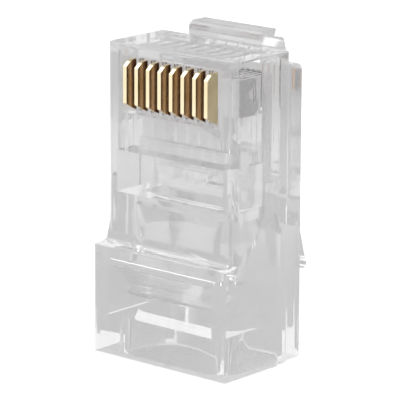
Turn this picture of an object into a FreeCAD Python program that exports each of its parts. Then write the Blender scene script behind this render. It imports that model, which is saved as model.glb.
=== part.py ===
import FreeCAD, Part
import math
import os

# 8P8C modular plug for round cable, as sold, before it is crimped.
# Frame: the plug stands on its cable end. +Z runs to the nose, -Y is the contact side, +Y the latch
# side and +X the side of contact 8. While it is modelled, Y = 0 is the flange's contact-side face;
# place() then moves every piece so that the origin is the middle of the plug's base. Millimetres.

# Body
body_width = 11.68
body_length = 21.4
body_depth = 8.2
flange_length = 7.55
flange_step = 1.02
nose_width = 11.38
nose_depth = 5.78
nose_tip_length = 1.0
nose_corner_radius = 0.67
nose_back_radius = 0.45
tip_edge_radius = 0.16
flange_edge_radius = 0.1
shoulder_fillet = 0.85

# Side ribs, which run the length of the body, and the recess in front of them
rib_front = 3.97
rib_depth = 1.5
rib_top_gap = 0.36
rib_top_radius = 0.3
recess_radius = 3.85
recess_draft = 4.6
rear_inset = 0.4
rear_edge_radius = 0.6

# Latch channel between the two rear rails
latch_channel_width = 7.0
latch_channel_length = 8.2
latch_channel_run_out = 1.1

# Cable entry, conductor chamber and strain-relief openings
cable_mouth_width = 8.7
cable_mouth_depth = 5.9
cable_throat_width = 8.3
cable_throat_depth = 4.8
cable_rear_wall = 0.75
cable_length = 8.8
cable_corner_radius = 1.4
cable_roof_width = 8.1
cable_roof_depth = 3.6
cable_roof = 10.3
cable_roof_radius = 0.6
jacket_window_width = 9.3
jacket_window_bottom = 2.85
jacket_window_height = 3.4
conductor_window_width = 9.4
conductor_window_bottom = 11.2
conductor_window_height = 2.9
conductor_window_depth = 3.42
relief_step_width = 7.6
relief_step_depth = 0.95
relief_step_height = 0.8

# Conductor channels
contact_count = 8
contact_pitch = 1.016
wire_diameter = 0.94
wire_centre = 5.13
wire_end_wall = 1.15
wire_end_slope = 0.35
wire_tray_back = 5.98
wire_tray_top = 12.6
wire_fin = 0.12
wire_fin_depth = 0.5
wire_fin_bottom = 11.6

# Contacts
contact_thickness = 0.3
contact_proud = 0.45
contact_head_gap = 0.98
contact_head_height = 3.56
contact_head_depth = 1.45
contact_head_lead = 0.42
contact_head_run = 0.72
contact_head_tail = 0.64
contact_head_slant = 1.18
contact_blade_height = 2.52
contact_blade_drop = 0.56
contact_blade_depth = 2.9
contact_prong_depth = 1.03
contact_upper_prong_depth = 0.8
contact_prong_height = 0.92
contact_prong_chamfer = 0.4
contact_travel = 0.8
contact_clearance = 0.03
comb_margin = 0.52
comb_rib = 0.3
comb_rib_drop = 0.3
comb_depth = 0.75
comb_top_room = 0.25
comb_bottom_room = 0.1

# Latch
latch_width = 6.3
latch_thickness = 0.78
latch_lever_width = 3.26
latch_angle = 15.1
latch_length = 15.9
latch_shoulder = 6.6
latch_shoulder_taper = 0.7
latch_tip_radius = 1.6
latch_tip_turn = 17.0
latch_root_depth = 2.33
latch_back_radius = 0.4
latch_web_slope = 0.4
latch_ridge_depth = 1.65
latch_notch_drop = 0.55
latch_head_lap = 0.2
latch_head_height = 0.95
latch_head_radius = 0.5
latch_pivot_radius = 0.42
latch_pivot_offset = 0.25
latch_pivot_drop = 0.62
latch_clearance = 0.03

# Jacket clamp
clamp_side_gap = 0.35
clamp_thickness = 0.85
clamp_length = 2.75
clamp_angle = 27.0
clamp_pivot_radius = 0.36
clamp_pivot_depth = 0.95
clamp_clearance = 0.03

nose_front = flange_step
tip_back = nose_front + nose_depth
rib_back = rib_front + rib_depth
half_width = body_width / 2
nose_half = nose_width / 2
rail_top = body_length - nose_tip_length
cable_back = body_depth - cable_rear_wall
jacket_window_top = jacket_window_bottom + jacket_window_height
conductor_window_back = nose_front + conductor_window_depth
contact_front = nose_front - contact_proud
head_top = body_length - contact_head_gap
head_bottom = head_top - contact_head_height
head_back = contact_front + contact_head_depth
blade_top = head_top - contact_blade_drop
blade_bottom = blade_top - contact_blade_height
blade_back = contact_front + contact_blade_depth
latch_pivot_y = tip_back + latch_pivot_offset
latch_pivot_z = body_length - latch_pivot_drop
clamp_pivot_z = jacket_window_top + clamp_pivot_radius * 0.3


def vec(x, y, z):
    return FreeCAD.Vector(x, y, z)


def line(a, b):
    return Part.LineSegment(a, b).toShape()


def arc(a, middle, b):
    return Part.Arc(a, middle, b).toShape()


def block(x_half, y0, y1, z0, z1):
    return Part.makeBox(2 * x_half, y1 - y0, z1 - z0, vec(-x_half, y0, z0))


def on_circle(centre_y, centre_z, radius, degrees, x=0.0):
    """A point on a circle in the YZ plane; 0 degrees is +Y and 90 degrees is +Z."""
    turn = math.radians(degrees)
    return vec(x, centre_y + radius * math.cos(turn), centre_z + radius * math.sin(turn))


def along_x(edges, width):
    """Extrude a closed YZ outline, drawn at X = 0, to both sides."""
    face = Part.Face(Part.Wire(edges))
    face.translate(vec(-width / 2, 0, 0))
    return face.extrude(vec(width, 0, 0))


def polygon_yz(points):
    corners = [vec(0, y, z) for y, z in points]
    return [line(a, b) for a, b in zip(corners, corners[1:] + corners[:1])]


def edges_where(shape, test):
    return [edge for edge in shape.Edges if test(edge.BoundBox)]


def rounded_rectangle(width, y0, y1, z, radius):
    """A horizontal rectangle with round corners, as a wire at height z."""
    x = width / 2
    r = radius
    c = r * (1 - math.sqrt(0.5))
    return Part.Wire([
        line(vec(-x + r, y0, z), vec(x - r, y0, z)),
        arc(vec(x - r, y0, z), vec(x - c, y0 + c, z), vec(x, y0 + r, z)),
        line(vec(x, y0 + r, z), vec(x, y1 - r, z)),
        arc(vec(x, y1 - r, z), vec(x - c, y1 - c, z), vec(x - r, y1, z)),
        line(vec(x - r, y1, z), vec(-x + r, y1, z)),
        arc(vec(-x + r, y1, z), vec(-x + c, y1 - c, z), vec(-x, y1 - r, z)),
        line(vec(-x, y1 - r, z), vec(-x, y0 + r, z)),
        arc(vec(-x, y0 + r, z), vec(-x + c, y0 + c, z), vec(-x + r, y0, z)),
    ])


def contact_positions():
    middle = (contact_count - 1) / 2
    return [(number - middle) * contact_pitch for number in range(contact_count)]


# Housing

def nose_block():
    """The narrow nose, from the cable end to the tip, with round front corners and edges."""
    nose = block(nose_half, nose_front, tip_back, 0, body_length)
    front = edges_where(nose, lambda b: b.ZLength > 1 and b.YMax < nose_front + 0.01)
    nose = nose.makeFillet(nose_corner_radius, front)
    back = edges_where(nose, lambda b: b.ZLength > 1 and b.YMin > tip_back - 0.01)
    nose = nose.makeFillet(nose_back_radius, back)
    tip = edges_where(nose, lambda b: b.ZMin > body_length - 0.01)
    return nose.makeFillet(tip_edge_radius, tip)


def side_slab():
    """Flange, round shoulder and side ribs, the full width of the body."""
    centre_y = rib_front - recess_radius
    centre_z = flange_length + recess_radius
    r = rib_top_radius
    high = body_length - rib_top_gap
    slab = along_x([
        line(vec(0, 0, 0), vec(0, 0, flange_length)),
        line(vec(0, 0, flange_length), vec(0, centre_y, flange_length)),
        arc(vec(0, centre_y, flange_length), on_circle(centre_y, centre_z, recess_radius, -45),
            vec(0, rib_front, centre_z)),
        line(vec(0, rib_front, centre_z), vec(0, rib_front, high - r)),
        arc(vec(0, rib_front, high - r), on_circle(rib_front + r, high - r, r, 135),
            vec(0, rib_front + r, high)),
        line(vec(0, rib_front + r, high), vec(0, rib_back, high)),
        line(vec(0, rib_back, high), vec(0, rib_back, 0)),
        line(vec(0, rib_back, 0), vec(0, 0, 0)),
    ], body_width)
    front = edges_where(slab, lambda b: b.YMax < 0.01 and b.ZMax > 0.01)
    return slab.makeFillet(flange_edge_radius, front)


def recess_wall(side):
    """The slanting wall of a side recess, which widens down towards the shoulder."""
    corner = nose_corner_radius * (1 - math.sqrt(0.5))
    inner_x = nose_half - corner - 0.1
    centre_z = flange_length + recess_radius
    front = rib_front - recess_radius - 0.1
    back = rib_front + 0.2
    low = flange_length - 1
    wires = []
    for x in (half_width, inner_x):
        radius = recess_radius - recess_draft * (half_width - x)
        centre_y = rib_front - radius
        floor = centre_z - radius
        bend = on_circle(centre_y, centre_z, radius, -45)
        points = [(front, floor), (centre_y, floor), (rib_front, centre_z), (back, centre_z)]
        points += [(back, low), (front, low)]
        corners = [vec(0, y, z) for y, z in points]
        edges = [line(a, b) for a, b in zip(corners, corners[1:] + corners[:1])]
        edges[1] = arc(corners[1], bend, corners[2])
        wire = Part.Wire(edges)
        wire.translate(vec(side * x, 0, 0))
        wires.append(wire)
    wall = Part.makeLoft(wires, True, True)
    return wall.common(block(body_width, nose_front + corner, back, low, body_length))


def shoulder_blend():
    """The hollow fillet between the flange's top and the nose's contact side."""
    r = shoulder_fillet
    centre_y = nose_front - r
    centre_z = flange_length + r
    inside = nose_front + 0.3
    low = flange_length - 0.3
    width = nose_width - 2 * nose_corner_radius * (1 - math.sqrt(0.5))
    return along_x([
        line(vec(0, inside, low), vec(0, centre_y, low)),
        line(vec(0, centre_y, low), vec(0, centre_y, flange_length)),
        arc(vec(0, centre_y, flange_length), on_circle(centre_y, centre_z, r, -45),
            vec(0, nose_front, centre_z)),
        line(vec(0, nose_front, centre_z), vec(0, inside, centre_z)),
        line(vec(0, inside, centre_z), vec(0, inside, low)),
    ], width)


def rear_body():
    """The back of the body, narrower than the ribs, with a round edge at the tip end."""
    r = rear_edge_radius
    front = rib_front + 0.2
    return along_x([
        line(vec(0, front, 0), vec(0, front, rail_top)),
        line(vec(0, front, rail_top), vec(0, body_depth - r, rail_top)),
        arc(vec(0, body_depth - r, rail_top), on_circle(body_depth - r, rail_top - r, r, 45),
            vec(0, body_depth, rail_top - r)),
        line(vec(0, body_depth, rail_top - r), vec(0, body_depth, 0)),
        line(vec(0, body_depth, 0), vec(0, front, 0)),
    ], body_width - 2 * rear_inset)


def latch_channel():
    """The room between the rear rails that the pressed latch drops into."""
    low = rail_top - latch_channel_length
    slope = latch_channel_run_out / (body_depth - tip_back)
    back = body_depth + 1
    end = low - slope * (back - tip_back)
    outline = polygon_yz([(tip_back, body_length), (back, body_length), (back, end), (tip_back, low)])
    return along_x(outline, latch_channel_width)


def latch_bead():
    """The round bead across the nose's back that the latch bends about."""
    start = vec(-latch_width / 2, latch_pivot_y, latch_pivot_z)
    return Part.makeCylinder(latch_pivot_radius, latch_width, start, vec(1, 0, 0))


def cable_cavity():
    """The entry for the cable's jacket, wider at its mouth, and the ramp up to its roof."""
    mouth = rounded_rectangle(cable_mouth_width, cable_back - cable_mouth_depth, cable_back, 0,
                              cable_corner_radius)
    throat = rounded_rectangle(cable_throat_width, cable_back - cable_throat_depth, cable_back,
                               cable_length, cable_corner_radius)
    entry = Part.makeLoft([mouth, throat], True, True)
    roof_front = cable_front_at(cable_roof)
    roof = rounded_rectangle(cable_roof_width, roof_front, roof_front + cable_roof_depth, cable_roof,
                             cable_roof_radius)
    ramp = Part.makeLoft([throat, roof], True, True)
    return [entry, ramp]


def cable_front_at(z):
    """The Y of the cable cavity's contact-side wall at height z."""
    narrowing = (cable_mouth_depth - cable_throat_depth) / cable_length
    return cable_back - cable_mouth_depth + narrowing * z


def tray_width():
    return contact_count * contact_pitch - wire_fin


def wire_tray():
    """The flat room between the cable's roof and the channels, with a fin between each two conductors."""
    low = cable_roof - 0.1
    tray = block(tray_width() / 2, conductor_window_back, wire_tray_back, low, wire_tray_top)
    front = wire_centre - wire_fin_depth / 2
    depth = wire_tray_back - front + 1
    height = wire_tray_top - wire_fin_bottom + 1
    for left, right in zip(contact_positions(), contact_positions()[1:]):
        corner = vec((left + right - wire_fin) / 2, front, wire_fin_bottom)
        tray = tray.cut(Part.makeBox(wire_fin, depth, height, corner))
    return tray


def wire_channel(x):
    """One conductor's channel, with flat walls and a blind end that slopes towards the contact side."""
    half = (contact_pitch - wire_fin) / 2
    front = wire_centre - wire_diameter / 2
    back = wire_centre + wire_diameter / 2
    start = wire_tray_top - 0.05
    end = body_length - wire_end_wall
    channel = along_x(polygon_yz([
        (front, start), (back, start), (back, end - wire_end_slope), (front, end),
    ]), 2 * half)
    channel.translate(vec(x, 0, 0))
    return channel


def jacket_window():
    """The opening through the flange, deep enough for the jacket clamp to swing in."""
    back = clamp_pivot_depth + clamp_length + 0.2
    return block(jacket_window_width / 2, -1, back, jacket_window_bottom, jacket_window_top)


def conductor_window():
    """The opening over the conductors, open to their tray, with a raised step at the back of its roof."""
    back = conductor_window_back
    top = conductor_window_bottom + conductor_window_height
    window = block(conductor_window_width / 2, nose_front - 1, back, conductor_window_bottom, top)
    step = block(relief_step_width / 2, back - relief_step_depth, back, top - 0.1, top + relief_step_height)
    passage = block(tray_width() / 2, back - 0.1, back + 0.1, conductor_window_bottom, wire_tray_top)
    return window.fuse([step, passage])


def contact_comb():
    """The recess round the contacts' fronts, with a low rib standing between each two."""
    positions = contact_positions()
    half = positions[-1] + contact_thickness / 2 + comb_margin
    low = head_bottom - comb_bottom_room
    high = head_top + comb_top_room
    room = block(half, nose_front - 1, nose_front + comb_depth, low, high)
    front = nose_front + comb_rib_drop
    for left, right in zip(positions, positions[1:]):
        corner = vec((left + right - comb_rib) / 2, front, low)
        room = room.cut(Part.makeBox(comb_rib, comb_depth, high - low, corner))
    return room


def contact_slot(x):
    """The narrow slot that a contact is pressed down: tall for its head, and lower for its blade."""
    width = contact_thickness + 2 * contact_clearance
    front = nose_front
    stroke = contact_travel + contact_clearance
    tall = Part.makeBox(width, head_back + stroke - front, contact_head_height + 2 * contact_clearance,
                        vec(x - width / 2, front, head_bottom - contact_clearance))
    tip = blade_back + contact_prong_depth
    low = Part.makeBox(width, tip + stroke - front, contact_blade_height + 2 * contact_clearance,
                       vec(x - width / 2, front, blade_bottom - contact_clearance))
    return tall.fuse(low)


def clamp_groove():
    """The round seat in the window's roof for the jacket clamp's knuckle, with room to swing."""
    y, z = clamp_pivot_depth, clamp_pivot_z
    start = vec(-jacket_window_width / 2, y, z)
    radius = clamp_pivot_radius + clamp_clearance
    seat = Part.makeCylinder(radius, jacket_window_width, start, vec(1, 0, 0))
    top = jacket_window_top
    relief = polygon_yz([(y, top - 0.2), (y + 1, top - 0.2), (y + 1, top), (y, z + 0.2)])
    return seat.fuse(along_x(relief, jacket_window_width))


def housing():
    body = nose_block().fuse([side_slab(), recess_wall(1), recess_wall(-1), shoulder_blend(), rear_body()])
    tools = [latch_channel(), jacket_window(), clamp_groove(), conductor_window(), contact_comb()]
    tools += [wire_tray()] + cable_cavity()
    tools += [wire_channel(x) for x in contact_positions()]
    tools += [contact_slot(x) for x in contact_positions()]
    body = body.cut(tools).fuse(latch_bead())
    return body.removeSplitter()


# Contacts

def contact(x):
    """A tall head that stands proud of the nose, and a blade with two prongs to pierce the conductor."""
    front, back = contact_front, blade_back
    upper = back + contact_upper_prong_depth
    lower = back + contact_prong_depth
    notch_top = blade_top - contact_prong_height
    notch_bottom = blade_bottom + contact_prong_height
    c = contact_prong_chamfer
    blade = along_x(polygon_yz([
        (front, head_bottom + contact_head_tail), (front, head_top - contact_head_lead),
        (front + contact_head_run * 0.55, head_top - contact_head_lead * 0.25),
        (front + contact_head_run, head_top), (head_back, head_top),
        (head_back, blade_top), (upper - c / 2, blade_top), (upper, blade_top - c),
        (back, notch_top), (back, notch_bottom), (lower, notch_bottom), (lower, blade_bottom + c),
        (lower - c, blade_bottom), (head_back, blade_bottom),
        (head_back, head_bottom), (front + contact_head_slant, head_bottom),
        (front + contact_head_slant * 0.36, head_bottom + contact_head_tail * 0.54),
    ]), contact_thickness)
    blade.translate(vec(x, 0, 0))
    return blade


# Latch

def latch_outer(z):
    """The Y of the latch's outer face at height z, before its tip turns out."""
    return tip_back + latch_root_depth + (body_length - z) * math.tan(math.radians(latch_angle))


def latch():
    """The spring latch: a rounded head over the bead, and a lever that stands off the body."""
    angle = math.radians(latch_angle)
    down = vec(0, math.sin(angle), -math.cos(angle))
    out = vec(0, math.cos(angle), math.sin(angle))
    thickness = latch_thickness
    top = body_length + latch_head_height
    gap = latch_clearance
    r = latch_head_radius
    front = tip_back - latch_head_lap
    ridge = vec(0, front + latch_ridge_depth, top)
    notch = ridge + vec(0, -0.25, -latch_notch_drop)
    turn = latch_back_radius * math.tan((math.pi / 2 - angle) / 2)
    ledge = notch.z - 0.1
    corner = vec(0, latch_outer(ledge), ledge)
    arc_start = corner - vec(0, turn, 0)
    arc_end = corner + down * turn
    bend = (math.pi / 2 + angle) / 2
    centre = arc_start - vec(0, 0, latch_back_radius)
    arc_middle = centre + vec(0, math.cos(bend), math.sin(bend)) * latch_back_radius
    straight = (latch_length + ledge - body_length) / math.cos(angle) - turn
    tip_start = arc_end + down * straight
    tip_turn = math.radians(latch_tip_turn)
    tip_centre = tip_start + out * latch_tip_radius

    def on_tip(radius, share):
        turned = angle + tip_turn * share
        return tip_centre - vec(0, math.cos(turned), math.sin(turned)) * radius

    outer_end = on_tip(latch_tip_radius, 1)
    inner_radius = latch_tip_radius + thickness
    inner_end = on_tip(inner_radius, 1)
    final = angle + tip_turn
    cap = (outer_end + inner_end) * 0.5 + vec(0, math.sin(final), -math.cos(final)) * (thickness / 2)
    inner_start = tip_start - out * thickness
    root = vec(0, latch_pivot_y, latch_pivot_z)
    web_run = latch_outer(root.z) - thickness / math.cos(angle) - root.y
    web_bottom = root.z - latch_web_slope * web_run
    below = inner_start - down * ((web_bottom - inner_start.z) / math.cos(angle))
    wall = tip_back + gap
    profile = along_x([
        line(vec(0, front, body_length + gap), vec(0, front, top - r)),
        arc(vec(0, front, top - r), on_circle(front + r, top - r, r, 135), vec(0, front + r, top)),
        line(vec(0, front + r, top), ridge),
        line(ridge, notch),
        line(notch, arc_start),
        arc(arc_start, arc_middle, arc_end),
        line(arc_end, tip_start),
        arc(tip_start, on_tip(latch_tip_radius, 0.5), outer_end),
        arc(outer_end, cap, inner_end),
        arc(inner_end, on_tip(inner_radius, 0.5), inner_start),
        line(inner_start, below),
        line(below, root),
        line(root, vec(0, wall, latch_pivot_z + latch_pivot_radius)),
        line(vec(0, wall, latch_pivot_z + latch_pivot_radius), vec(0, wall, body_length + gap)),
        line(vec(0, wall, body_length + gap), vec(0, front, body_length + gap)),
    ], latch_width)
    socket = Part.makeCylinder(latch_pivot_radius + gap, latch_width + 2,
                               vec(-latch_width / 2 - 1, latch_pivot_y, latch_pivot_z), vec(1, 0, 0))
    return profile.cut(socket).common(latch_plan(cap.z - 1))


def latch_plan(low):
    """The latch seen from behind: wide from the head to its locking shoulders, then a narrow lever."""
    wide = latch_width / 2
    narrow = latch_lever_width / 2
    shoulder = body_length - latch_shoulder
    high = body_length + latch_head_height + 1
    points = [(wide, high), (wide, shoulder), (narrow, shoulder - latch_shoulder_taper), (narrow, low)]
    points += [(-x, z) for x, z in reversed(points)]
    corners = [vec(x, 0, z) for x, z in points]
    face = Part.Face(Part.Wire([line(a, b) for a, b in zip(corners, corners[1:] + corners[:1])]))
    return face.extrude(vec(0, 3 * body_depth, 0))


# Jacket clamp

def jacket_clamp():
    """The wedge that is pushed in through the flange window and grips the cable's jacket."""
    angle = math.radians(clamp_angle)
    down = vec(0, math.sin(angle), -math.cos(angle))
    inward = vec(0, math.cos(angle), math.sin(angle))
    pivot = vec(0, clamp_pivot_depth, clamp_pivot_z)
    r = clamp_pivot_radius
    neck = r * 0.3
    end = pivot + down * clamp_length
    outer = [pivot - inward * r, end - inward * r]
    outline = outer + [end + inward * (clamp_thickness - r), pivot + inward * neck]
    width = jacket_window_width - 2 * clamp_side_gap
    bar = along_x([line(a, b) for a, b in zip(outline, outline[1:] + outline[:1])], width)
    tip_top = end.z + clamp_thickness * math.sin(angle)
    tip = edges_where(bar, lambda b: b.XLength > 1 and b.ZMax < tip_top)
    bar = bar.makeFillet(clamp_thickness * 0.3, tip)
    knuckle = Part.makeCylinder(r, width, vec(-width / 2, pivot.y, pivot.z), vec(1, 0, 0))
    return bar.fuse(knuckle).removeSplitter()


# Pieces

def pieces():
    named = {"housing": housing(), "latch": latch(), "jacket_clamp": jacket_clamp()}
    for number, x in enumerate(contact_positions(), 1):
        named["contact_%d" % number] = contact(x)
    return named


def place(shape, origin_y):
    moved = shape.copy()
    moved.translate(vec(0, -origin_y, 0))
    return moved


def main():
    os.makedirs("parts", exist_ok=True)
    named = pieces()
    origin_y = (named["housing"].BoundBox.YMin + named["latch"].BoundBox.YMax) / 2
    for name, shape in named.items():
        place(shape, origin_y).exportStep("parts/%s.step" % name)


main()
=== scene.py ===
"""Looks of the modular plug: clear moulded plastic and gold contacts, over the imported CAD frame.

Lengths are metres, angles degrees and lamp powers watts. Places on the plug come from the frame.
"""
import math

import bpy
from mathutils import Matrix, Vector

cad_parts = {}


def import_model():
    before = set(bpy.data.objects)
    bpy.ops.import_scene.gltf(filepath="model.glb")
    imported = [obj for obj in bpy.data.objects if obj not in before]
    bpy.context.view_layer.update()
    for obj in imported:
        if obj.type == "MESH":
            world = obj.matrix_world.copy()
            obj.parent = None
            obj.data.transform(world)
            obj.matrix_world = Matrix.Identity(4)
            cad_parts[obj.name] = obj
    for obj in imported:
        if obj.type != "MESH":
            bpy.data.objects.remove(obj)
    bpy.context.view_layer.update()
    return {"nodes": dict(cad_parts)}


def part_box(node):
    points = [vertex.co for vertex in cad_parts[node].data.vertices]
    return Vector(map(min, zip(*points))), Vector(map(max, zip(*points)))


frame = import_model()
nodes = frame["nodes"]
scene = bpy.context.scene

# Plastic
plastic_tint = (0.975, 0.97, 0.975, 1)
plastic_index = 1.585
plastic_in_shadow_rays = (0.97, 0.97, 0.97, 1)
plastic_roughness = (0.03, 0.05)
satin_roughness = 0.09
plain_haze = 0.18
satin_haze = 0.37
# Painted shade: faces that look up lose this much haze, which darkens the tops.
haze_cut_for_painted_top_shade = 0.13
looks_up = 0.9
latch_head_height = 0.0019
hair = 0.0001

# Metal, by depth behind the contact edge
slot_shade = (0.0006, 0.00095)
nickel_start = (0.0019, 0.0023)
depth_wander = 0.0003
outer_face_room = 0.00005
metal_roughness = (0.1, 0.18)
sheared_roughness = 0.12
patch_places = (0.3, 0.7)
gold = ((0.96, 0.80, 0.50), (1.0, 0.88, 0.62))
# Sheared brass, deepened on the sides between blades as painted reflection of blade in blade.
brass = ((0.62, 0.36, 0.13), (0.80, 0.52, 0.26))
# The plain sheared brass, kept on the outermost two faces.
open_brass = ((0.66, 0.56, 0.36), (0.80, 0.68, 0.44))
# Painted shade deep in the gaps between blades.
painted_gap_shade = ((0.10, 0.035, 0.012), (0.20, 0.08, 0.03))
nickel = ((0.52, 0.51, 0.50), (0.60, 0.59, 0.58))

# Table: its grey by distance from the plug, a painted ring of light around it, and how much of the backdrop's
# white it gives to each kind of ray
table_half = 1.5
table_rise = (0.020, 0.050)
painted_pool_greys = (0.60, 0.86)
table_fall = (0.060, 0.090)
table_drop = 0.28
table_glow_reach = (0.015, 0.08)
table_to_camera = (0.56, 0.85)
table_to_gloss = 0.60
table_through_plastic = 0.12

# Room
room_heights = (-0.3, 1.0)
room_greys = (0.42, 0.50)
room_sides = (-0.7, 0.7)
room_shares = (1.04, 0.82)
room_to_camera = 1.0
room_to_gloss = 0.0
room_through_plastic = 0.05

# Lamps: name, azimuth, elevation, size, power. Azimuth 0 faces the contacts, and 90 the side of contact 8.
lamp_rows = (
    ("key", -76, 46, (0.3, 0.3), 0.48),
    ("backdrop", 221, 13, (0.25, 0.12), 0.016),
    ("top", 60, 75, (0.2, 0.2), 0.5),
    ("side", 120, 25, (0.1, 0.25), 0.15),
)
lamp_distance = 0.5

# Camera
camera_azimuth = 40.773
camera_elevation = 13.86
camera_roll = 0.277
camera_distance = 0.2054
camera_lens = 274.5
camera_shift = (0.000115, -0.000189)
middle_height = 0.011
middle_depth = 0.004


# Nodes

def new_material(name):
    material = bpy.data.materials.new(name)
    material.use_nodes = True
    material.node_tree.nodes.clear()
    return material


def add(tree, kind, **inputs):
    node = tree.nodes.new(kind)
    for key, value in inputs.items():
        node.inputs[key.replace("_", " ")].default_value = value
    return node


def maths(tree, operation, a, b=0.0):
    """A Math node of two inputs, each a socket or a number."""
    node = tree.nodes.new("ShaderNodeMath")
    node.operation = operation
    for socket, value in zip(node.inputs, (a, b)):
        if isinstance(value, (int, float)):
            socket.default_value = value
        else:
            tree.links.new(value, socket)
    return node.outputs[0]


def over(tree, value, limits, results=(0.0, 1.0), smooth=False):
    """The value's place between two limits, turned into a place between two results."""
    node = add(tree, "ShaderNodeMapRange", From_Min=limits[0], From_Max=limits[1], To_Min=results[0],
               To_Max=results[1])
    if smooth:
        node.interpolation_type = "SMOOTHSTEP"
    tree.links.new(value, node.inputs["Value"])
    return node.outputs["Result"]


def split(tree, vector):
    """The X, Y and Z outputs of a vector."""
    node = add(tree, "ShaderNodeSeparateXYZ")
    tree.links.new(vector, node.inputs[0])
    return node.outputs


def patched(tree, factor, colours):
    """A colour that wanders between two as the factor does."""
    node = tree.nodes.new("ShaderNodeValToRGB")
    for element, place, colour in zip(node.color_ramp.elements, patch_places, colours):
        element.position = place
        element.color = (*colour, 1)
    tree.links.new(factor, node.inputs["Fac"])
    return node.outputs["Color"]


def blended(tree, factor, a, b):
    """Colour a where the factor is 0 and colour b where it is 1."""
    node = tree.nodes.new("ShaderNodeMix")
    node.data_type = "RGBA"
    tree.links.new(factor, node.inputs["Factor"])
    colours = [socket for socket in node.inputs if socket.type == "RGBA"]
    tree.links.new(a, colours[0])
    tree.links.new(b, colours[1])
    return next(socket for socket in node.outputs if socket.type == "RGBA")


def uneven(tree, height, shader, strength, distance):
    """A slight unevenness of the shader's surface."""
    bump = add(tree, "ShaderNodeBump", Strength=strength, Distance=distance)
    tree.links.new(height, bump.inputs["Height"])
    tree.links.new(bump.outputs["Normal"], shader.inputs["Normal"])


# Materials

def clear_plastic(root_front, head_bottom, lever_front):
    """Clear moulded plastic, slightly hazy on its outward faces and satin on the latch. Faces that look up
    lose some haze, a painted shade that darkens the tops.

    The latch is told from the housing by place: its head stands above head_bottom and behind root_front, and
    its lever lies behind lever_front. Lamps shine through to cast no dark shadow.
    """
    material = new_material("clear_polycarbonate")
    tree = material.node_tree
    link = tree.links.new
    body = add(tree, "ShaderNodeBsdfPrincipled", Base_Color=plastic_tint, IOR=plastic_index)
    where = add(tree, "ShaderNodeTexCoord")
    place = split(tree, where.outputs["Object"])
    facing = split(tree, where.outputs["Normal"])

    head = maths(tree, "MULTIPLY", maths(tree, "GREATER_THAN", place["Y"], root_front),
                 maths(tree, "GREATER_THAN", place["Z"], head_bottom))
    satin = maths(tree, "MAXIMUM", head, maths(tree, "GREATER_THAN", place["Y"], lever_front))
    # Painted shade on the tops: faces that look up get less of the white haze.
    upward = maths(tree, "GREATER_THAN", facing["Z"], looks_up)
    haze = maths(tree, "ADD", plain_haze, maths(tree, "MULTIPLY", satin, satin_haze))
    haze = maths(tree, "SUBTRACT", haze, maths(tree, "MULTIPLY", upward, haze_cut_for_painted_top_shade))
    inner_face = add(tree, "ShaderNodeNewGeometry").outputs["Backfacing"]
    outward = maths(tree, "SUBTRACT", 1.0, inner_face)
    clear = maths(tree, "SUBTRACT", 1.0, maths(tree, "MULTIPLY", outward, haze))
    link(clear, body.inputs["Transmission Weight"])

    waves = add(tree, "ShaderNodeTexNoise", Scale=260.0, Detail=2.0, Roughness=0.45)
    link(where.outputs["Object"], waves.inputs["Vector"])
    polish = over(tree, waves.outputs["Fac"], (0.0, 1.0), plastic_roughness)
    rough = maths(tree, "ADD", polish, maths(tree, "MULTIPLY", satin, satin_roughness))
    link(rough, body.inputs["Roughness"])
    uneven(tree, waves.outputs["Fac"], body, strength=0.03, distance=0.000004)

    open_to_lamps = add(tree, "ShaderNodeBsdfTransparent", Color=plastic_in_shadow_rays)
    rays = add(tree, "ShaderNodeLightPath")
    mix = add(tree, "ShaderNodeMixShader")
    link(rays.outputs["Is Shadow Ray"], mix.inputs[0])
    link(body.outputs[0], mix.inputs[1])
    link(open_to_lamps.outputs[0], mix.inputs[2])
    out = add(tree, "ShaderNodeOutputMaterial")
    link(mix.outputs[0], out.inputs["Surface"])
    return material


def plated_brass(front, outer_face):
    """Stamped blade: gold on its contact edge, brass on its sheared sides, nickel further in.

    The sides between blades carry painted reflection, a deeper brass than on the outermost two, and painted
    shade deeper in the slot; the outermost two keep the plain brass.
    """
    material = new_material("gold_plated_brass")
    tree = material.node_tree
    link = tree.links.new
    metal = add(tree, "ShaderNodeBsdfPrincipled", Metallic=1.0, IOR=1.5)
    where = add(tree, "ShaderNodeTexCoord")
    patches = add(tree, "ShaderNodeTexNoise", Scale=900.0, Detail=3.0)
    lines = add(tree, "ShaderNodeTexNoise", Scale=4000.0, Detail=2.0)
    for noise in (patches, lines):
        link(where.outputs["Object"], noise.inputs["Vector"])
    patch = patches.outputs["Fac"]
    place = split(tree, where.outputs["Object"])
    facing = split(tree, where.outputs["Normal"])

    sideways = over(tree, maths(tree, "ABSOLUTE", facing["X"]), (0.5, 0.9))
    depth = maths(tree, "ADD", place["Y"], maths(tree, "MULTIPLY", patch, depth_wander))
    shaded = over(tree, depth, [front + limit for limit in slot_shade])
    inward = over(tree, depth, [front + limit for limit in nickel_start])
    outermost = maths(tree, "GREATER_THAN", maths(tree, "ABSOLUTE", place["X"]), outer_face)

    # Painted reflection and painted shade on the sides between blades; the outermost two faces keep the plain
    # brass.
    painted_between_blades = blended(tree, shaded, patched(tree, patch, brass), patched(tree, patch, painted_gap_shade))
    side = blended(tree, outermost, painted_between_blades, patched(tree, patch, open_brass))
    plating = blended(tree, sideways, patched(tree, patch, gold), side)
    link(blended(tree, inward, plating, patched(tree, patch, nickel)), metal.inputs["Base Color"])

    gloss = over(tree, patch, (0.0, 1.0), metal_roughness)
    sheared = maths(tree, "MULTIPLY", sideways, sheared_roughness)
    link(maths(tree, "ADD", gloss, sheared), metal.inputs["Roughness"])
    uneven(tree, lines.outputs["Fac"], metal, strength=0.05, distance=0.000005)
    out = add(tree, "ShaderNodeOutputMaterial")
    link(metal.outputs[0], out.inputs["Surface"])
    return material


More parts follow.
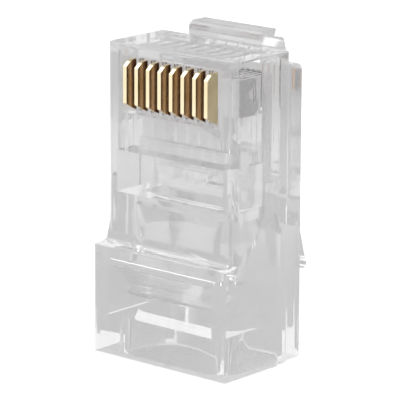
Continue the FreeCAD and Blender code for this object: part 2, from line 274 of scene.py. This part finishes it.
def dress():
    latch_low, latch_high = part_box("latch")
    housing_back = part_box("housing")[1].y
    plastic = clear_plastic(latch_low.y + hair, latch_high.z - latch_head_height, housing_back + hair)
    metal = plated_brass(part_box("contact_1")[0].y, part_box("contact_8")[1].x - outer_face_room)
    for name, node in nodes.items():
        node.data.materials.clear()
        node.data.materials.append(metal if name.startswith("contact") else plastic)


# Stage

def background_share(tree, to_camera, to_gloss, through_plastic):
    """How much of the backdrop's white a ray gets: straight on, mirrored, or bent through the plastic."""
    rays = add(tree, "ShaderNodeLightPath")
    bent = rays.outputs["Is Transmission Ray"]
    mirrored = maths(tree, "SUBTRACT", rays.outputs["Is Glossy Ray"], bent)
    seen = maths(tree, "MULTIPLY", rays.outputs["Is Camera Ray"], to_camera)
    seen = maths(tree, "MAXIMUM", seen, maths(tree, "MULTIPLY", mirrored, to_gloss))
    return maths(tree, "MAXIMUM", seen, maths(tree, "MULTIPLY", bent, through_plastic))


def floor():
    """A pale matt table that keeps the plug's soft shadow and turns white to the camera further out. Its grey
    carries a painted ring of light around the plug.
    """
    corners = [(x * table_half, y * table_half, 0) for x, y in ((-1, -1), (1, -1), (1, 1), (-1, 1))]
    mesh = bpy.data.meshes.new("floor")
    mesh.from_pydata(corners, [], [(0, 1, 2, 3)])
    thing = bpy.data.objects.new("floor", mesh)
    scene.collection.objects.link(thing)

    material = new_material("white_table")
    tree = material.node_tree
    link = tree.links.new
    matt = add(tree, "ShaderNodeBsdfDiffuse")
    where = add(tree, "ShaderNodeTexCoord")
    away = add(tree, "ShaderNodeVectorMath")
    away.operation = "LENGTH"
    link(where.outputs["Object"], away.inputs[0])
    distance = away.outputs["Value"]
    # Painted light: the grey rises to a ring of light round the plug and falls off beyond it.
    painted_pool = over(tree, distance, table_rise, painted_pool_greys, smooth=True)
    painted_pool_fall = over(tree, distance, table_fall, (0.0, table_drop), smooth=True)
    link(maths(tree, "SUBTRACT", painted_pool, painted_pool_fall), matt.inputs["Color"])

    glow = add(tree, "ShaderNodeEmission", Color=(1, 1, 1, 1))
    to_camera = over(tree, distance, table_glow_reach, table_to_camera)
    link(background_share(tree, to_camera, table_to_gloss, table_through_plastic), glow.inputs["Strength"])
    both = add(tree, "ShaderNodeAddShader")
    link(matt.outputs[0], both.inputs[0])
    link(glow.outputs[0], both.inputs[1])
    out = add(tree, "ShaderNodeOutputMaterial")
    link(both.outputs[0], out.inputs["Surface"])
    thing.data.materials.append(material)


def world():
    """White to the camera, and a soft grey room with a brighter ceiling to everything else."""
    sky = bpy.data.worlds.new("room")
    scene.world = sky
    sky.use_nodes = True
    tree = sky.node_tree
    tree.nodes.clear()
    link = tree.links.new
    where = add(tree, "ShaderNodeTexCoord")
    direction = split(tree, where.outputs["Generated"])
    height = over(tree, direction["Z"], room_heights, room_greys)
    across = over(tree, direction["X"], room_sides, room_shares)
    room = add(tree, "ShaderNodeBackground", Strength=1.0)
    link(maths(tree, "MULTIPLY", height, across), room.inputs["Color"])
    white = add(tree, "ShaderNodeBackground", Color=(1, 1, 1, 1), Strength=1.0)
    mix = add(tree, "ShaderNodeMixShader")
    link(background_share(tree, room_to_camera, room_to_gloss, room_through_plastic), mix.inputs[0])
    link(room.outputs[0], mix.inputs[1])
    link(white.outputs[0], mix.inputs[2])
    out = add(tree, "ShaderNodeOutputWorld")
    link(mix.outputs[0], out.inputs["Surface"])


def towards(azimuth, elevation):
    """The unit vector from the plug toward an azimuth and elevation in degrees."""
    a, e = math.radians(azimuth), math.radians(elevation)
    return Vector((math.sin(a) * math.cos(e), -math.cos(a) * math.cos(e), math.sin(e)))


def lamp(name, azimuth, elevation, size, power):
    data = bpy.data.lights.new(name, "AREA")
    data.shape = "RECTANGLE"
    data.size, data.size_y = size
    data.energy = power
    thing = bpy.data.objects.new(name, data)
    away = towards(azimuth, elevation)
    thing.location = Vector((0, 0, middle_height)) + away * lamp_distance
    thing.rotation_euler = away.to_track_quat("Z", "Y").to_euler()
    scene.collection.objects.link(thing)


def camera():
    back = towards(camera_azimuth, camera_elevation)
    azimuth, roll = math.radians(camera_azimuth), math.radians(camera_roll)
    right = Vector((math.cos(azimuth), math.sin(azimuth), 0))
    up = back.cross(right)
    flange_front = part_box("housing")[0].y
    target = Vector((0, flange_front + middle_depth, middle_height))
    target += right * camera_shift[0] + up * camera_shift[1]
    across = right * math.cos(roll) + up * math.sin(roll)
    upward = up * math.cos(roll) - right * math.sin(roll)
    data = bpy.data.cameras.new("camera")
    data.sensor_width = 36
    data.lens = camera_lens
    data.clip_start = 0.01
    thing = bpy.data.objects.new("camera", data)
    turned = Matrix((across, upward, back)).transposed().to_4x4()
    thing.matrix_world = Matrix.Translation(target + back * camera_distance) @ turned
    scene.collection.objects.link(thing)
    scene.camera = thing


def renderer():
    """Enough bounces for light to leave the nested clear walls, and a denoiser that goes by colour alone."""
    scene.view_settings.view_transform = "Standard"
    cycles = scene.cycles
    cycles.max_bounces = 64
    cycles.transmission_bounces = 64
    cycles.glossy_bounces = 64
    cycles.diffuse_bounces = 8
    cycles.transparent_max_bounces = 32
    cycles.caustics_reflective = True
    cycles.caustics_refractive = True
    cycles.sample_clamp_indirect = 2.0
    cycles.denoising_input_passes = "RGB"
    cycles.use_denoising = True


dress()
floor()
world()
for row in lamp_rows:
    lamp(*row)
camera()
renderer()
